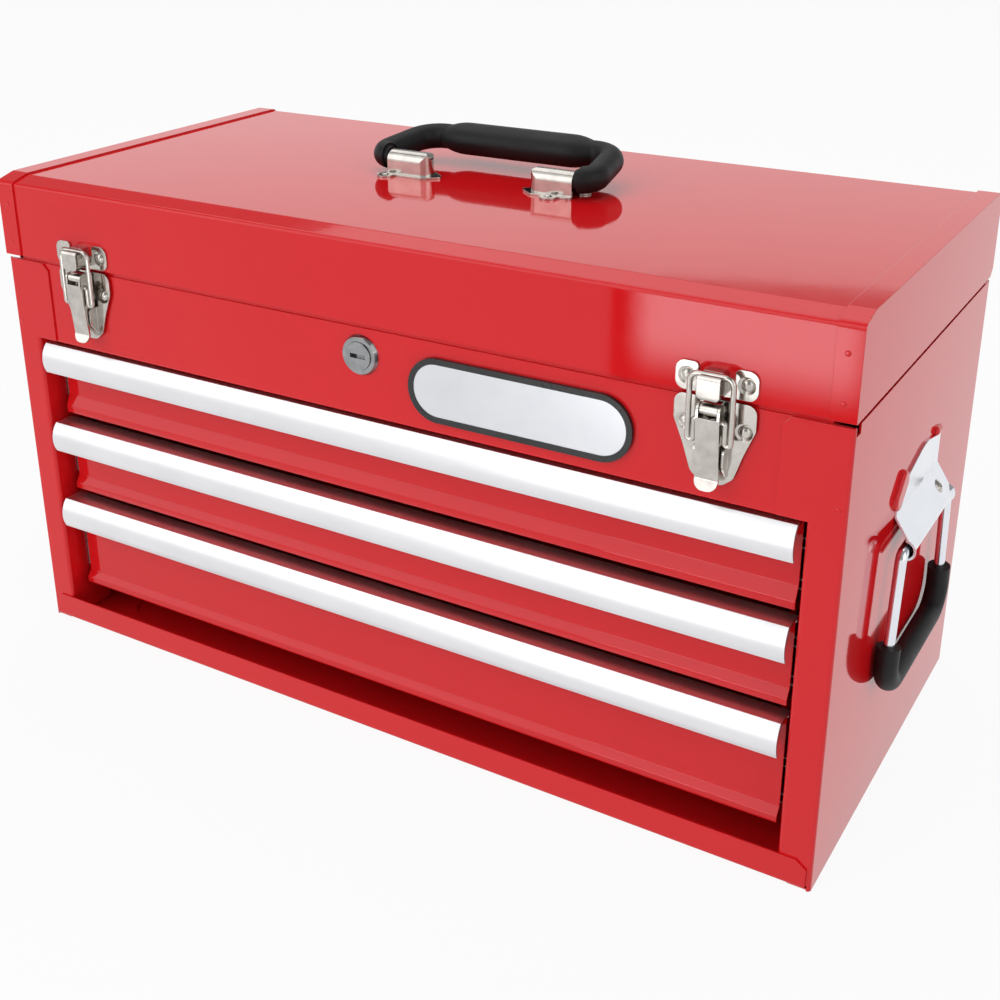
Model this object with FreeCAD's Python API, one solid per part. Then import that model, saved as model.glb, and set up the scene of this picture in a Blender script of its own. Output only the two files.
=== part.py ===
import FreeCAD, Part
import math
import os

# Steel portable tool box with a hinged lid, a top tray and three drawers.
# Lengths in millimetres. X to the right, Y to the back, Z up.
# Origin: middle of the footprint on the floor.

V = FreeCAD.Vector
os.makedirs("parts", exist_ok=True)

# Driving sizes of the case
WIDTH = 508.0
DEPTH = 240.0
CASE_HEIGHT = 241.5
BOX_HEIGHT = 291.0
LID_GAP = 2.5
SHEET = 1.0
BEND = 1.0
SEAT = 0.05
RUN = 0.3
ROUND_SHARE = 0.98

# Case shell
HALF = WIDTH / 2
FRONT = -DEPTH / 2
BACK = DEPTH / 2
OPENING_HALF = 236.5
OPENING_TOP = 194.2
OPENING_BOTTOM = 16.8
FASCIA_SEAM = 222.5
FASCIA_RETURN = 11.0
FASCIA_DROP = 1.3
SEAM_RADIUS = 4.0
RETURN_DEPTH = 31.0
BACK_FLANGE = 14.0
TOP_FLANGE = 10.0
FOOT_FLANGE = 12.0
NOTCH_DEPTH = 8.0
NOTCH_HEIGHT = 4.5
RAIL_INSET = 2.6
RAIL_CUT_HALF = 246.0
RAIL_CUT_Z = 12.5
BACK_LIP = 8.0
CORNER_RADIUS = 4.0
FIELD_MARGIN = 22.0
FIELD_RADIUS = 26.0
POST_START = 80.0
POST_HOOK = 14.0

# Top tray
TRAY_HALF = 244.0
TRAY_RIM_Z = 247.0
TRAY_BACK_Z = 240.0
TRAY_BEND = 3.0

# Lid
LID_BOTTOM = CASE_HEIGHT + LID_GAP
LID_FACET_DEPTH = 11.8
LID_FACET_DROP = 3.1
LID_FACET_BEND = 1.2
LID_BACK_BEND = 3.0
CAP_OUTER = HALF + SHEET / 2
CAP_FLANGE = 12.0
CAP_CHAMFER = 4.0

# Hinge of the lid
HINGE_Y = 122.3
HINGE_Z = CASE_HEIGHT + LID_GAP / 2
HINGE_HALF = 225.0
KNUCKLE_RADIUS = 2.2
HINGE_PIN_RADIUS = 1.1
LEAF_HEIGHT = 14.0
KNUCKLES = 9

# Stays of the lid
STAY_RADIUS = 27.0
STAY_ANGLE = 30.0
STAY_INNER = 241.0
STAY_THICK = 1.2
STAY_WIDTH = 7.4
LID_OPENING = 95.0
STUD_RADIUS = 1.8
STUD_HEAD_RADIUS = 3.4
STUD_HEAD_THICK = 1.2
STUD_COLLAR_RADIUS = 2.5

# Drawers
PULL_TOPS = (191.2, 139.6, 88.0)
LIP_BOTTOMS = (143.6, 92.0, 25.0)
LIP_HEIGHTS = (4.0, 3.5, 3.5)
FACET_HEIGHTS = (7.0, 4.5, 4.0)
DRAWER_NAMES = ("top", "middle", "bottom")
FRONT_HALF = 231.6
FRONT_FACE = -107.0
LIP_OUT = 3.0
PULL_HALF = 232.7
PULL_FRONT = -123.2
PULL_EDGE = -119.1
PULL_TIP = -121.5
PULL_BULGE_DROP = 8.0
PULL_HEIGHT = 17.4
PULL_WALL = 1.5
PULL_WEB = 3.0
BOX_HALF = 226.5
BOX_BACK = 94.0
BOX_BEND = 1.5
BOX_RIM_DROP = 8.0
BOX_FLOOR_RISE = 1.6
HEM = 5.0

# Drawer slides
SLIDE_FRONT = -104.0
SLIDE_LENGTH = 200.0
SLIDE_RISE = 21.0
SLIDE_HALF_HEIGHT = 13.5
SLIDE_SHEET = 1.2
SLIDE_LIP_INNER = 10.8
SLIDE_INNER_HALF = 8.7
SLIDE_INNER_EDGE = 234.2
SLIDE_OUTER_EDGE = 228.3
CAGE_WEB = 235.0
CAGE_SHEET = 0.5
CAGE_EDGE = 229.8
CAGE_HALF_HEIGHT = 11.0
CAGE_LENGTH = 50.0
CAGE_RAIL = 1.0
BALL_RADIUS = 1.6
BALL_STEP = 10.0
BALLS = 5

# Draw latches
LATCH_X = 192.0
LATCH_BASE_HALF = 19.3
LATCH_BASE_TOP = 243.0
LATCH_BASE_EAR_Z = 231.0
LATCH_BASE_WAIST_Z = 218.5
LATCH_BASE_WAIST_HALF = 14.2
LATCH_BASE_LOW_Z = 206.5
LATCH_BASE_LOW_HALF = 10.3
LATCH_BASE_BOTTOM = 202.4
LATCH_CORNER = 4.5
LATCH_PLATE = 1.0
LATCH_RIVET_X = 13.9
LATCH_RIVET_Z = 229.8
BASE_WALL_X = 6.2
BASE_WALL_OUT = 6.0
BASE_WALL_TOP = 222.0
BASE_WALL_BEND_Z = 213.0
PIVOT_Z = 239.8
PIVOT_OUT = 6.3
PIVOT_PIN_RADIUS = 1.3
BARREL_HALF = 4.1
BARREL_RADIUS = 2.7
LEVER_HALF = 5.6
LEVER_SHEET = 1.2
LEVER_TOP_Z = 236.3
LEVER_FACE_OUT = 9.6
LEVER_NECK_Z = 206.5
LEVER_NECK_OUT = 6.9
LEVER_TIP_Z = 201.5
LEVER_TIP_OUT = 8.6
LEVER_EAR_RADIUS = 3.0
BAIL_DROP = 5.0
BAIL_LENGTH = 21.0
BAIL_WIRE = 1.3
BAIL_INNER = 7.3
BAIL_HALF = 10.2
BAIL_LOOP_DROP = 10.5
BAIL_CORNER = 4.0
KEEPER_TOP = 258.5
KEEPER_BOTTOM = 244.8
KEEPER_HALF = 19.3
KEEPER_NOTCH_HALF = 8.6
KEEPER_NOTCH_Z = 252.0
HOOK_HALF = 5.4
HOOK_TOP = 257.0
HOOK_BOTTOM = 245.0
HOOK_OUT = 10.6
HOOK_WALL = 1.2
HOOK_ROUND = 3.0

# Rivets
RIVET_RADIUS = 2.9
RIVET_RISE = 1.6
DIMPLE_RADIUS = 4.2
DIMPLE_DEPTH = 0.55

# Lock and badge
LOCK_Z = 227.0
BEZEL_RADIUS = 11.0
BEZEL_RISE = 2.2
LOCK_FACE_RADIUS = 7.5
LOCK_FACE_RISE = 3.0
LOCK_BARREL_RADIUS = 6.0
LOCK_DEPTH = 9.0
KEYWAY_LENGTH = 9.5
KEYWAY_WIDTH = 2.4
KEYWAY_DEPTH = 3.0
CAM_RADIUS = 16.0
CAM_WIDTH = 7.0
CAM_REST_TURN = 90.0
CAM_SHEET = 1.5
CAM_PRONG = 5.0
LOCK_NUT_RADIUS = 10.4
NUT_SIDES = 6
STRIKE_LEFT = -8.0
STRIKE_RIGHT = 5.0
STRIKE_WEB = 3.4
STRIKE_JAW_DROP = 2.5
STRIKE_JAW = 3.0
BADGE_X = 91.4
BADGE_LENGTH = 123.0
BADGE_HEIGHT = 34.0
BADGE_Z = 217.0
BADGE_RIM = 3.0
BADGE_RISE = 2.2

# Side handles
SIDE_AXIS_OUT = 6.8
SIDE_AXIS_Z = 148.5
SIDE_LEG_TOP = 42.6
SIDE_LEG_BOTTOM = 49.8
SIDE_WIRE = 2.85
SIDE_WIRE_BEND = 4.6
SIDE_GRIP_Z = 76.0
SIDE_GRIP_TOP = 100.0
SIDE_GRIP_RADIUS = 5.95
SIDE_CORNER = 14.0
BRACKET_HALF = 37.5
BRACKET_CROWN = 187.5
BRACKET_CROWN_Y = 8.0
BRACKET_TOP = 181.0
BRACKET_SLANT_TOP_Y = -20.0
BRACKET_SLANT_LOW = 168.0
BRACKET_SHEET = 1.2
BRACKET_SLOPE = 57.0
BRACKET_FOLD = 3.0
BRACKET_LIP_GAP = 3.6
BRACKET_FLARE = 1.2
BRACKET_FLARE_LENGTH = 4.0
BRACKET_RIVET_Y = 24.0
BRACKET_RIVET_DROP = 8.0
BRACKET_RIVET_RADIUS = 3.6
BRACKET_RIVET_RISE = 1.3
BRACKET_RIVET_HOLE = 1.2
LUG_Y = -33.0
LUG_Z = 177.2
LUG_LENGTH = 21.0
LUG_WIDTH = 12.0
LUG_TILT = 43.0
LUG_RISE = 2.3
LUG_ROUND = 2.0
CLIP_Y = 33.0
CLIP_Z = 184.2
CLIP_LENGTH = 10.0
CLIP_WIDTH = 5.0
CLIP_TILT = -10.0
SLOT_LOW = 169.0
SLOT_HIGH = 185.0
SLOT_WIDTH = 2.0

# Top handle
HANDLE_AXIS_Z = 299.6
HANDLE_HALF = 68.9
HANDLE_FOOT_BEND = 7.6
HANDLE_FOOT_RADIUS = 5.8
HANDLE_FOOT_LENGTH = 2.4
HANDLE_SADDLE_X = 46.0
HANDLE_SADDLE_HALF = 13.5
HANDLE_CORE = 3.0
HANDLE_BACK = 42.5
HANDLE_BAR_HALF = 62.0
HANDLE_BAR_RISE = 4.9
HANDLE_CORNER = 15.0
HANDLE_LEG_RADIUS = 7.3
HANDLE_GRIP_THICK = 9.2
HANDLE_GRIP_WIDE = 12.6
HANDLE_GRIP_HALF = 50.0
HANDLE_SWELL = 16.0
SADDLE_SHEET = 1.2
SADDLE_HALF = 5.7
SADDLE_END_ROUND = 4.2
SADDLE_FLANGE = 2.6
SADDLE_NOSE = 7.0
SADDLE_NOSE_ROUND = 2.5
SADDLE_LOBE = 4.8
SADDLE_RIVET_Y = 9.6
SADDLE_FRONT_RIVET_X = 1.5
SADDLE_BACK_RIVET_X = 12.4
SADDLE_RIVET_RADIUS = 2.3
SADDLE_RIVET_RISE = 1.1

# Places that follow from the sizes above
RAIL_HALF = HALF - RAIL_INSET
SIDE_AXIS_X = HALF + SIDE_AXIS_OUT
SLIDE_LEVELS = [low + SLIDE_RISE for low in LIP_BOTTOMS]


def save(name, shape):
    shape.exportStep("parts/" + name + ".step")


def block(x_low, x_high, y_low, y_high, z_low, z_high):
    size = (x_high - x_low, y_high - y_low, z_high - z_low)
    return Part.makeBox(size[0], size[1], size[2], V(x_low, y_low, z_low))


def join(shapes):
    whole = shapes[0]
    for shape in shapes[1:]:
        whole = whole.fuse(shape)
    return whole.removeSplitter()


def mirror_x(shape):
    return shape.mirror(V(0, 0, 0), V(1, 0, 0))


def both_sides(shape):
    return Part.makeCompound([shape, mirror_x(shape)])


def moved(shape, x, y, z):
    copy = shape.copy()
    copy.translate(V(x, y, z))
    return copy


# Outline through points, each corner turned with its own radius
def outline(points, radii):
    count = len(points)
    edges = []
    starts = []
    ends = []
    arcs = []
    for i in range(count):
        here = points[i]
        before = points[i - 1]
        after = points[(i + 1) % count]
        if radii[i] <= 0:
            starts.append(here)
            ends.append(here)
            arcs.append(None)
            continue
        to_before = (before - here).normalize()
        to_after = (after - here).normalize()
        half_angle = to_before.getAngle(to_after) / 2
        reach = radii[i] / math.tan(half_angle)
        first = here + to_before * reach
        last = here + to_after * reach
        middle_way = (to_before + to_after).normalize()
        centre = here + middle_way * (radii[i] / math.sin(half_angle))
        starts.append(first)
        ends.append(last)
        arcs.append(Part.Arc(first, centre - middle_way * radii[i], last).toShape())
    for i in range(count):
        if arcs[i] is not None:
            edges.append(arcs[i])
        begin = ends[i]
        finish = starts[(i + 1) % count]
        if begin.distanceToPoint(finish) > SEAT / 100:
            edges.append(Part.makeLine(begin, finish))
    return Part.Wire(edges)


# Two numbers in a plane square to an axis, as a point in space
def in_plane(axis, u, v, w):
    if axis == "x":
        return V(w, u, v)
    if axis == "y":
        return V(u, w, v)
    return V(u, v, w)


AXES = {"x": V(1, 0, 0), "y": V(0, 1, 0), "z": V(0, 0, 1)}


# Plate with a flat outline, drawn square to the axis
def plate(axis, corners, radii, low, high):
    points = [in_plane(axis, u, v, low) for u, v in corners]
    if not isinstance(radii, (list, tuple)):
        radii = [radii] * len(points)
    face = Part.Face(outline(points, list(radii)))
    return face.extrude(AXES[axis] * (high - low))


# Bent sheet: the path is the outer face and the sheet lies on its left
def bent(axis, path, thick, inner_radii, low, high):
    offset = []
    outer_radii = []
    inside_radii = []
    last = len(path) - 1
    if not isinstance(inner_radii, (list, tuple)):
        inner_radii = [inner_radii] * (last + 1)
    for i, (u, v) in enumerate(path):
        directions = []
        if i > 0:
            directions.append(unit(path[i - 1], path[i]))
        if i < last:
            directions.append(unit(path[i], path[i + 1]))
        if len(directions) == 1:
            du, dv = directions[0]
            offset.append((u - dv * thick, v + du * thick))
            outer_radii.append(0)
            inside_radii.append(0)
            continue
        (au, av), (bu, bv) = directions
        cross = au * bv - av * bu
        dot = au * bu + av * bv
        share = thick / (1 + dot)
        offset.append((u - (av + bv) * share, v + (au + bu) * share))
        bend = inner_radii[i]
        if cross > 0:
            outer_radii.append(bend + thick)
            inside_radii.append(bend)
        else:
            outer_radii.append(bend)
            inside_radii.append(bend + thick)
    corners = list(path) + offset[::-1]
    radii = outer_radii + inside_radii[::-1]
    return plate(axis, corners, radii, low, high)


def unit(start, end):
    length = math.hypot(end[0] - start[0], end[1] - start[1])
    return ((end[0] - start[0]) / length, (end[1] - start[1]) / length)


def rod(axis, u, v, low, high, radius):
    base = in_plane(axis, u, v, low)
    return Part.makeCylinder(radius, high - low, base, AXES[axis])


def tube(axis, u, v, low, high, radius, hole):
    return rod(axis, u, v, low, high, radius).cut(rod(axis, u, v, low, high, hole))


# Low dome on a face, rising along the direction
def rivet(place, direction, radius, rise):
    sphere_radius = (radius * radius + rise * rise) / (2 * rise)
    depth = sphere_radius - rise
    latitude = math.degrees(math.asin(depth / sphere_radius))
    centre = place - direction * depth
    return Part.makeSphere(sphere_radius, centre, direction, latitude, 90, 360)


# Round bar from one point to another
def straight(start, end, radius):
    way = end - start
    return Part.makeCylinder(radius, way.Length, start, way)


# Round wire along points with a radius at each inner corner
def wire_rod(points, radii, radius):
    pieces = []
    previous = points[0]
    for i in range(1, len(points) - 1):
        to_before = (points[i - 1] - points[i]).normalize()
        to_after = (points[i + 1] - points[i]).normalize()
        half_angle = to_before.getAngle(to_after) / 2
        reach = radii[i] / math.tan(half_angle)
        first = points[i] + to_before * reach
        middle_way = (to_before + to_after).normalize()
        centre = points[i] + middle_way * (radii[i] / math.sin(half_angle))
        if previous.distanceToPoint(first) > SEAT / 100:
            pieces.append(straight(previous, first, radius))
        ring = Part.Face(Part.Wire([Part.makeCircle(radius, first, to_before)]))
        turn = math.degrees(math.pi - 2 * half_angle)
        pieces.append(ring.revolve(centre, to_after.cross(to_before), turn))
        previous = points[i] + to_after * reach
    pieces.append(straight(previous, points[-1], radius))
    return join(pieces)


# Side of the case: wall, front flange, return beside the drawers, back flange
def side_panel():
    opening = OPENING_HALF
    low_path = [(opening, FRONT + RETURN_DEPTH), (opening, FRONT), (HALF, FRONT),
                (HALF, BACK), (HALF - BACK_FLANGE, BACK)]
    high_path = [(FASCIA_SEAM, FRONT), (HALF, FRONT), (HALF, BACK), (HALF - BACK_FLANGE, BACK)]
    panel = join([
        bent("z", low_path, SHEET, BEND, 0, OPENING_TOP),
        bent("z", high_path, SHEET, BEND, OPENING_TOP, CASE_HEIGHT),
    ])
    foot_clear = block(opening - SHEET, HALF - 2 * SHEET, FRONT - SHEET, FRONT + RETURN_DEPTH + SHEET,
                       -SHEET, 2 * SHEET + BEND)
    back_clear = block(HALF - BACK_FLANGE - SHEET, HALF - 2 * SHEET, BACK - SHEET, BACK + SHEET,
                       -SHEET, SHEET)
    notch = block(HALF - TOP_FLANGE - SHEET, HALF + SHEET, FRONT + 2 * SHEET, FRONT + NOTCH_DEPTH,
                  CASE_HEIGHT - NOTCH_HEIGHT, CASE_HEIGHT + SHEET)
    front_corner = plate("y", [(FASCIA_SEAM, CASE_HEIGHT), (FASCIA_SEAM, CASE_HEIGHT - SEAM_RADIUS),
                               (FASCIA_SEAM + SEAM_RADIUS, CASE_HEIGHT)], 0, FRONT - SHEET, FRONT + 2 * SHEET)
    panel = panel.cut(foot_clear).cut(back_clear).cut(notch).cut(front_corner)
    inner = HALF - SHEET
    top = block(HALF - TOP_FLANGE, inner, FRONT + NOTCH_DEPTH, BACK - 2 * SHEET,
                CASE_HEIGHT - SHEET, CASE_HEIGHT)
    foot = block(HALF - FOOT_FLANGE, inner, FRONT + SHEET, BACK - 2 * SHEET, 0, SHEET)
    slot = block(HALF - 2 * SHEET, HALF + SHEET, BRACKET_HALF + SLOT_WIDTH, BRACKET_HALF + 2 * SLOT_WIDTH,
                 SLOT_LOW, SLOT_HIGH)
    return join([panel, top, foot] + side_lugs()).cut(slot)


# Lug pressed out of the side panel, a rounded pad turned in its plane
def lug(y, z, length, width, tilt):
    corners = [(y - length / 2, z - width / 2), (y + length / 2, z - width / 2),
               (y + length / 2, z + width / 2), (y - length / 2, z + width / 2)]
    pad = plate("x", corners, width / 2 - LUG_ROUND / 2, HALF - SHEET / 2, HALF + LUG_RISE)
    rim = [edge for edge in pad.Edges if edge.BoundBox.XMin > HALF + LUG_RISE - SEAT]
    pad = pad.makeFillet(LUG_ROUND, rim)
    pad.rotate(V(HALF, y, z), V(1, 0, 0), tilt)
    return pad


def side_lugs():
    return [lug(LUG_Y, LUG_Z, LUG_LENGTH, LUG_WIDTH, LUG_TILT),
            lug(CLIP_Y, CLIP_Z, CLIP_LENGTH, CLIP_WIDTH, CLIP_TILT)]


# Floor with a front rail, a back lip and a field pressed down to the ground
def bottom_panel():
    path = [(FRONT - SHEET, OPENING_BOTTOM), (FRONT - SHEET, SHEET), (BACK - 2 * SHEET, SHEET),
            (BACK - 2 * SHEET, SHEET + BACK_LIP)]
    panel = bent("x", path, SHEET, BEND, -RAIL_HALF, RAIL_HALF)
    for side in (-1, 1):
        corner = plate("y", [(side * RAIL_CUT_HALF, OPENING_BOTTOM), (side * RAIL_HALF, RAIL_CUT_Z),
                             (side * (RAIL_HALF + SHEET), OPENING_BOTTOM + SHEET)],
                       0, FRONT - 2 * SHEET, FRONT + SHEET / 2)
        panel = panel.cut(corner)
    outer = field(FIELD_MARGIN, 0, SHEET + SEAT)
    inner = field(FIELD_MARGIN + SHEET, SHEET, 3 * SHEET)
    return join([panel, outer]).cut(inner)


def field(margin, low, high):
    half_x = OPENING_HALF - margin
    half_y = BACK - margin
    corners = [(-half_x, -half_y), (half_x, -half_y), (half_x, half_y), (-half_x, half_y)]
    return plate("z", corners, FIELD_RADIUS - margin / 2, low, high)


def back_panel():
    half = HALF - SHEET - BEND
    return plate("y", [(-half, SHEET), (half, SHEET), (half, CASE_HEIGHT), (-half, CASE_HEIGHT)],
                 [CORNER_RADIUS / 2] * 4, BACK - 2 * SHEET, BACK - SHEET)


# Fascia above the drawers: lowered edge between the sides, hole for the lock
def front_fascia():
    outer = HALF - 2 * SHEET
    inner = OPENING_HALF - SHEET - SEAT
    panels = []
    for half, low in ((outer, OPENING_TOP), (inner, OPENING_TOP - FASCIA_DROP)):
        path = [(FRONT + SHEET, CASE_HEIGHT), (FRONT + SHEET, low), (FRONT + FASCIA_RETURN, low)]
        panels.append(bent("x", path, SHEET, BEND, -half, half))
    upper, lower = panels
    middle = block(-inner, inner, FRONT, FRONT + FASCIA_RETURN + SHEET, 0, OPENING_TOP + 2 * SHEET + BEND)
    panel = join([upper.cut(middle), lower])
    return panel.cut(rod("y", 0, LOCK_Z, FRONT - SHEET, FRONT + FASCIA_RETURN / 2,
                         LOCK_BARREL_RADIUS + SEAT))


# Tray under the lid: floor, raised rim at front and sides, lower back wall
def top_tray():
    low = OPENING_TOP + SHEET
    y_low = FRONT + 2 * SHEET
    y_high = BACK - 2 * SHEET
    outer = block(-TRAY_HALF, TRAY_HALF, y_low, y_high, low, TRAY_RIM_Z)
    inner = block(-TRAY_HALF + SHEET, TRAY_HALF - SHEET, y_low + SHEET, y_high - SHEET,
                  low + SHEET, TRAY_RIM_Z + SHEET)
    outer = rounded_bottom(outer, low, TRAY_BEND + SHEET)
    inner = rounded_bottom(inner, low + SHEET, TRAY_BEND)
    tray = outer.cut(inner)
    back_cut = block(-TRAY_HALF - SHEET, TRAY_HALF + SHEET, HINGE_Y - STAY_RADIUS + STAY_WIDTH,
                     BACK, TRAY_BACK_Z, TRAY_RIM_Z + SHEET)
    tray = tray.cut(back_cut)
    return tray.cut(rod("y", 0, LOCK_Z, y_low - SHEET, y_low + 2 * SHEET, BEZEL_RADIUS))


def rounded_bottom(shape, level, radius):
    edges = []
    for edge in shape.Edges:
        box = edge.BoundBox
        if abs(box.ZMin - level) < SEAT and abs(box.ZMax - level) < SEAT:
            edges.append(edge)
    return shape.makeFillet(radius, edges)


# Upright angle at the back that carries the rear end of the slides
def rear_post():
    path = [(OPENING_HALF, BACK - 2 * SHEET), (OPENING_HALF, POST_START)]
    face = bent("z", path, SHEET, 0, 2 * SHEET, OPENING_TOP + SHEET)
    hook = block(OPENING_HALF, OPENING_HALF + POST_HOOK, BACK - 3 * SHEET, BACK - 2 * SHEET,
                 SHEET + BACK_LIP, OPENING_TOP + SHEET)
    lip_clear = block(OPENING_HALF - SHEET, OPENING_HALF + POST_HOOK, BACK - 3 * SHEET - BEND,
                      BACK, 0, SHEET + BACK_LIP)
    return join([face.cut(lip_clear), hook])


# Outer slide member: channel with turned-in lips, open towards the drawer
def slide_outer(level):
    lip = OPENING_HALF - SLIDE_SHEET
    path = [(SLIDE_OUTER_EDGE, level - SLIDE_LIP_INNER), (SLIDE_OUTER_EDGE, level - SLIDE_HALF_HEIGHT),
            (OPENING_HALF, level - SLIDE_HALF_HEIGHT), (OPENING_HALF, level + SLIDE_HALF_HEIGHT),
            (SLIDE_OUTER_EDGE, level + SLIDE_HALF_HEIGHT), (SLIDE_OUTER_EDGE, level + SLIDE_LIP_INNER)]
    radii = [0, SHEET / 2, BEND, BEND, SHEET / 2, 0]
    channel = bent("y", path, SLIDE_SHEET, radii, SLIDE_FRONT, SLIDE_FRONT + SLIDE_LENGTH)
    stop = block(lip - SLIDE_SHEET / 2, lip, SLIDE_FRONT + SLIDE_LENGTH - SLIDE_SHEET,
                 SLIDE_FRONT + SLIDE_LENGTH, level - SLIDE_INNER_HALF, level + SLIDE_INNER_HALF)
    return join([channel, stop])


def slide_inner(level):
    path = [(SLIDE_INNER_EDGE, level + SLIDE_INNER_HALF), (BOX_HALF, level + SLIDE_INNER_HALF),
            (BOX_HALF, level - SLIDE_INNER_HALF), (SLIDE_INNER_EDGE, level - SLIDE_INNER_HALF)]
    return bent("y", path, SLIDE_SHEET, BEND, SLIDE_FRONT,
                SLIDE_FRONT + SLIDE_LENGTH - 2 * SLIDE_SHEET)


# Ball cage between the two slide members, with pockets for the balls
def slide_cage(level):
    middle = SLIDE_FRONT + SLIDE_LENGTH / 2
    y_low = middle - CAGE_LENGTH / 2
    y_high = middle + CAGE_LENGTH / 2
    web = block(CAGE_WEB - CAGE_SHEET, CAGE_WEB, y_low, y_high,
                level - CAGE_HALF_HEIGHT, level + CAGE_HALF_HEIGHT)
    rails = []
    for side in (-1, 1):
        edge = level + side * CAGE_HALF_HEIGHT
        inner = edge - side * CAGE_RAIL
        rail = block(CAGE_EDGE, CAGE_WEB, y_low, y_high, min(edge, inner), max(edge, inner))
        for number in range(BALLS):
            y = y_low + BALL_STEP / 2 + number * BALL_STEP
            x = (CAGE_EDGE + CAGE_WEB) / 2
            rail = rail.cut(rod("z", x, y, min(edge, inner) - CAGE_RAIL,
                                max(edge, inner) + CAGE_RAIL, BALL_RADIUS + SEAT))
        rails.append(rail)
    return join([web] + rails)


# Drawer body: open pan with hemmed side walls
def drawer_box(index):
    floor = LIP_BOTTOMS[index] + BOX_FLOOR_RISE
    rim = PULL_TOPS[index] - BOX_RIM_DROP
    y_low = FRONT_FACE + SHEET
    outer = block(-BOX_HALF, BOX_HALF, y_low, BOX_BACK, floor, rim)
    inner = block(-BOX_HALF + SHEET, BOX_HALF - SHEET, y_low + SHEET, BOX_BACK - SHEET,
                  floor + SHEET, rim + SHEET)
    outer = rounded_bottom(outer, floor, BOX_BEND + SHEET)
    inner = rounded_bottom(inner, floor + SHEET, BOX_BEND)
    pan = outer.cut(inner)
    hems = []
    for side in (-1, 1):
        a = side * (BOX_HALF - SHEET)
        b = side * (BOX_HALF - 2 * SHEET)
        hems.append(block(min(a, b), max(a, b), y_low + SHEET, BOX_BACK - SHEET, rim - HEM, rim))
    return join([pan] + hems)


# Drawer front: flat face that flares out to an upright lip at the bottom
def drawer_front(index):
    top = PULL_TOPS[index] - PULL_WALL
    low = LIP_BOTTOMS[index]
    lip = LIP_HEIGHTS[index]
    facet = FACET_HEIGHTS[index]
    path = [(FRONT_FACE, top), (FRONT_FACE, low + lip + facet), (FRONT_FACE - LIP_OUT, low + lip),
            (FRONT_FACE - LIP_OUT, low)]
    return bent("x", path, SHEET, BEND, -FRONT_HALF, FRONT_HALF)


# Full-width pull: flange over the drawer front, bulged grip, open underneath
def drawer_pull(index):
    top = PULL_TOPS[index]
    back = FRONT_FACE + SHEET / 2
    edge = V(-PULL_HALF, PULL_EDGE, top)
    bulge = V(-PULL_HALF, PULL_FRONT, top - PULL_BULGE_DROP)
    tip = V(-PULL_HALF, PULL_TIP, top - PULL_HEIGHT)
    tip_in = tip + V(0, PULL_WALL, 0)
    bulge_in = bulge + V(0, PULL_WALL, 0)
    edge_in = edge + V(0, PULL_WALL, -PULL_WALL)
    web_top = V(-PULL_HALF, FRONT_FACE - PULL_WALL, top - PULL_WALL)
    web_low = V(-PULL_HALF, FRONT_FACE - PULL_WALL, top - PULL_WEB)
    seat_low = V(-PULL_HALF, FRONT_FACE, top - PULL_WEB)
    seat_top = V(-PULL_HALF, FRONT_FACE, top - PULL_WALL)
    back_low = V(-PULL_HALF, back, top - PULL_WALL)
    back_top = V(-PULL_HALF, back, top)
    round_low = (tip + tip_in) * 0.5 - V(0, 0, PULL_WALL / 2)
    edges = [
        Part.Arc(edge, bulge, tip).toShape(),
        Part.Arc(tip, round_low, tip_in).toShape(),
        Part.Arc(tip_in, bulge_in, edge_in).toShape(),
        Part.makeLine(edge_in, web_top),
        Part.makeLine(web_top, web_low),
        Part.makeLine(web_low, seat_low),
        Part.makeLine(seat_low, seat_top),
        Part.makeLine(seat_top, back_low),
        Part.makeLine(back_low, back_top),
        Part.makeLine(back_top, edge),
    ]
    return Part.Face(Part.Wire(edges)).extrude(V(2 * PULL_HALF, 0, 0))


# Side view of the lid with the shallow slope along its front edge, offset outwards
def lid_profile(offset):
    slope = math.atan(LID_FACET_DROP / LID_FACET_DEPTH)
    top = BOX_HEIGHT - SHEET
    upper = FRONT + LID_FACET_DEPTH - offset * math.tan(slope / 2)
    lower = top - LID_FACET_DROP + offset * math.tan(math.pi / 4 - slope / 2)
    return [(BACK + offset, LID_BOTTOM), (BACK + offset, top + offset), (upper, top + offset),
            (FRONT - offset, lower), (FRONT - offset, LID_BOTTOM)]


# Lid shell: front, slope, top and back in one bent sheet
def lid_shell():
    radii = [0, LID_BACK_BEND, LID_FACET_BEND, LID_FACET_BEND, 0]
    half = CAP_OUTER - SHEET
    return bent("x", lid_profile(0), SHEET, radii, -half, half)


# End of the lid: flat cap with a flange outside the shell
def lid_cap():
    low = LID_BOTTOM
    back = BACK + SHEET
    profile = lid_profile(SHEET)
    inner = [LID_BACK_BEND + SHEET, LID_FACET_BEND + SHEET, LID_FACET_BEND + SHEET]
    flange = bent("x", profile, SHEET, [0] + inner + [0], CAP_OUTER - CAP_FLANGE, CAP_OUTER)
    corners = [profile[-1], (back - CAP_CHAMFER, low), (back, low + CAP_CHAMFER)] + profile[1:-1]
    radii = [0, 0, 0] + [radius + SHEET for radius in inner]
    wall = plate("x", corners, radii, CAP_OUTER - SHEET, CAP_OUTER)
    chamfer = plate("x", [(back - CAP_CHAMFER, low - SHEET), (back + SHEET, low - SHEET),
                          (back + SHEET, low + CAP_CHAMFER), (back, low + CAP_CHAMFER),
                          (back - CAP_CHAMFER, low)], 0, CAP_OUTER - CAP_FLANGE - SHEET, CAP_OUTER + SHEET)
    return join([flange, wall]).cut(chamfer)


# Knuckles of the piano hinge, every second one on each leaf
def knuckles(first):
    pitch = 2 * HINGE_HALF / KNUCKLES
    tubes = []
    for i in range(first, KNUCKLES, 2):
        low = -HINGE_HALF + i * pitch + RUN / 2
        tubes.append(tube("x", HINGE_Y, HINGE_Z, low, low + pitch - RUN, KNUCKLE_RADIUS,
                          HINGE_PIN_RADIUS + SEAT))
    return tubes


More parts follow.
